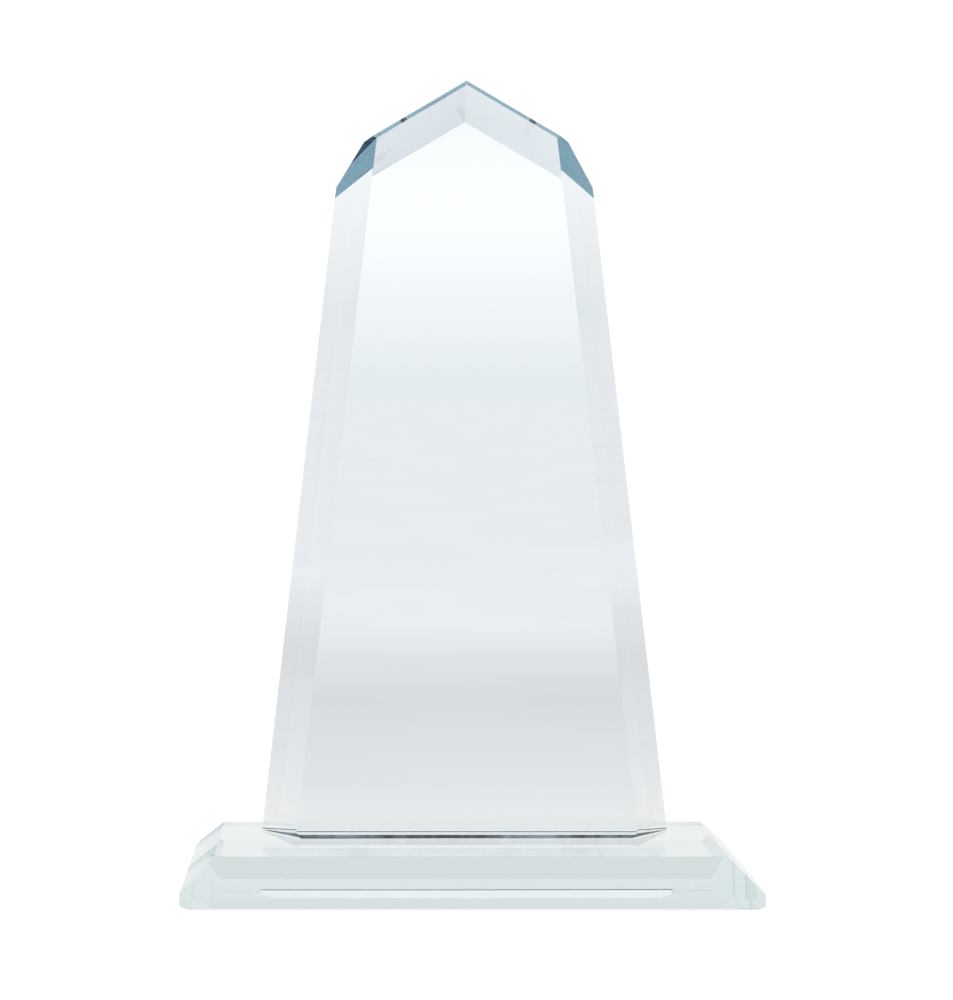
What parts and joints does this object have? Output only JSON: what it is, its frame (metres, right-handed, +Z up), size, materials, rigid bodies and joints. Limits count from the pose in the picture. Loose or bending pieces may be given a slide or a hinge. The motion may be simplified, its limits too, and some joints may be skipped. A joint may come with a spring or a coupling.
{
  "type": "crystal award",
  "caption": "Free-standing faceted glass award: a flat tapering tower with a pointed top, bonded on end to a bevelled rectangular base slab.",
  "frame": {"origin": "middle of the base's underside, on the surface that the award stands on", "axes": "+Z up along the tower, +X to the viewer's right along the base's length, the front faces -Y"},
  "size_m": [0.16, 0.05, 0.2297],
  "materials": {
    "base_glass": "polished float glass with a faint sea-green body colour",
    "cured_adhesive": "clear film of adhesive, cured by ultraviolet light, matched to the glass",
    "tower_glass": "polished low-iron optical glass, nearly colourless, with ground and polished bevels"
  },
  "bodies": {
    "root": {"base_slab": "base_glass", "adhesive_film": "cured_adhesive", "tower": "tower_glass"}
  },
  "joints": []
}
